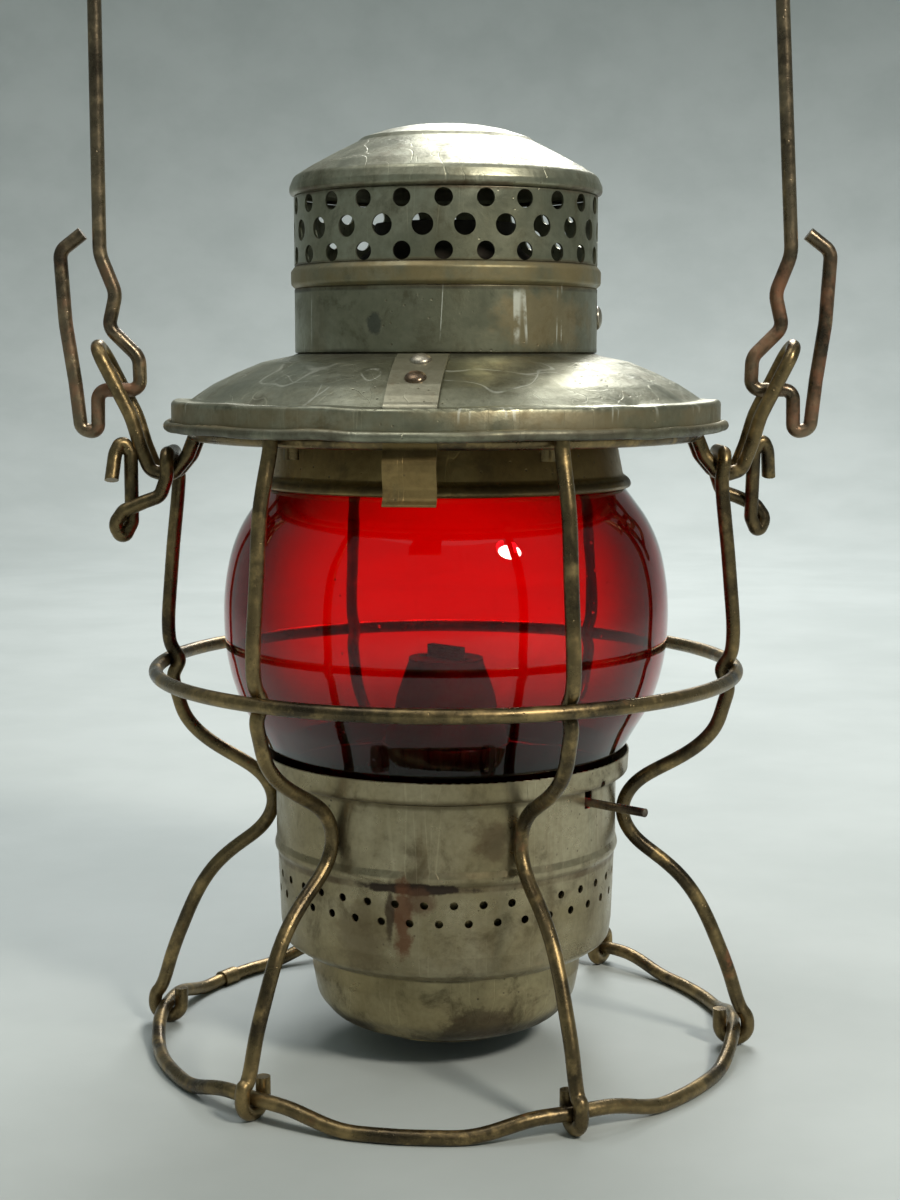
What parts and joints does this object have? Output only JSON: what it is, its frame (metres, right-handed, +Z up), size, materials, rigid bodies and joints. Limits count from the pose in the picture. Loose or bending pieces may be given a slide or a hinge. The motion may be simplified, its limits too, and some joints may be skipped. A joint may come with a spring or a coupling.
{
  "type": "railway hand lantern",
  "caption": "Oil lantern with a bent-wire cage, red globe, perforated metal shell, hinged ventilator lid, wire bail and flat-wick burner.",
  "frame": {"origin": "centre of the base ring on the floor plane", "axes": "+Z up along the lantern axis, -Y towards the latch strap, +X towards the right ear seen from the front"},
  "size_m": [0.193, 0.1514, 0.3602],
  "materials": {
    "cage_wire": "dull bronze-olive tarnish on tinned steel wire, golden where worn",
    "bail_wire": "tarnished tinned wire, rust at the hooked ends",
    "shell_tin": "warm dull tinplate, brown stains and a rust run",
    "pot_tin": "dark corroded tinplate",
    "lid_tin": "grey-green tarnished tinplate, scratched and stained",
    "dark_tin": "sooted sheet metal",
    "strap_tin": "paler worn tinplate",
    "rivet_steel": "dull steel, one rusty",
    "burner_brass": "darkened brass",
    "spindle_steel": "dull steel, rusty tip",
    "wick_cotton": "woven cotton, charred at the top",
    "ruby_glass": "clear ruby red glass with small seeds"
  },
  "bodies": {
    "cage": {"base_ring": "cage_wire", "base_ring_weld": "cage_wire", "guard_ring": "cage_wire", "top_ring": "cage_wire", "post_front_right": "cage_wire", "post_rear_right": "cage_wire", "post_rear_left": "cage_wire", "post_front_left": "cage_wire", "post_right_hook": "cage_wire", "post_left_hook": "cage_wire", "shell": "shell_tin", "gallery_ring": "shell_tin", "pot": "pot_tin", "pot_foot_ring": "pot_tin", "oil_tank": "pot_tin", "filler_cap": "burner_brass", "burner_collar": "burner_brass", "burner_basket": "burner_brass", "wick_tube": "dark_tin", "burner_cone": "dark_tin", "cone_top": "dark_tin", "spindle_bearings": "burner_brass", "globe": "ruby_glass", "hinge_bracket": "strap_tin", "hinge_pin": "rivet_steel"},
    "lid": {"brim": "lid_tin", "chimney": "lid_tin", "chimney_bead": "lid_tin", "vent_band": "lid_tin", "dome": "lid_tin", "draught_cone": "dark_tin", "globe_collar": "lid_tin", "front_strap": "strap_tin", "strap_rivets": "rivet_steel", "chimney_rivet": "rivet_steel", "lid_hinge_leaf": "strap_tin", "hinge_leaf_rivets": "rivet_steel"},
    "latch": {"latch_spring": "strap_tin"},
    "bail": {"bail": "bail_wire"},
    "spindle": {"wick_spindle": "spindle_steel"},
    "wick": {"wick": "wick_cotton"}
  },
  "joints": [
    {"name": "lid_hinge", "type": "hinge", "parent": "cage", "child": "lid", "pos_m": [0, 0.0728, 0.1525], "axis": [-1, 0, 0], "range_deg": [0, 100]},
    {"name": "latch_flex", "type": "hinge", "parent": "lid", "child": "latch", "pos_m": [0, -0.0646, 0.1607], "axis": [-1, 0, 0], "range_deg": [0, 8], "stiffness_Nm_per_rad": 0.35},
    {"name": "bail_swing", "type": "hinge", "parent": "cage", "child": "bail", "pos_m": [0, 0, 0.1665], "axis": [0.992, 0.1261, 0], "range_deg": [-95, 95]},
    {"name": "spindle_turn", "type": "hinge", "parent": "cage", "child": "spindle", "pos_m": [0.00193, 0.0028, 0.0672], "axis": [0.8241, -0.5665, 0], "range_deg": [-120, 60]},
    {"name": "wick_raise", "type": "slide", "parent": "cage", "child": "wick", "axis": [0, 0, 1], "range_m": [-0.005, 0.0025]}
  ],
  "couplings": [
    {"joint": "spindle_turn", "follows": "wick_raise", "rad_per_m": 416.67}
  ]
}
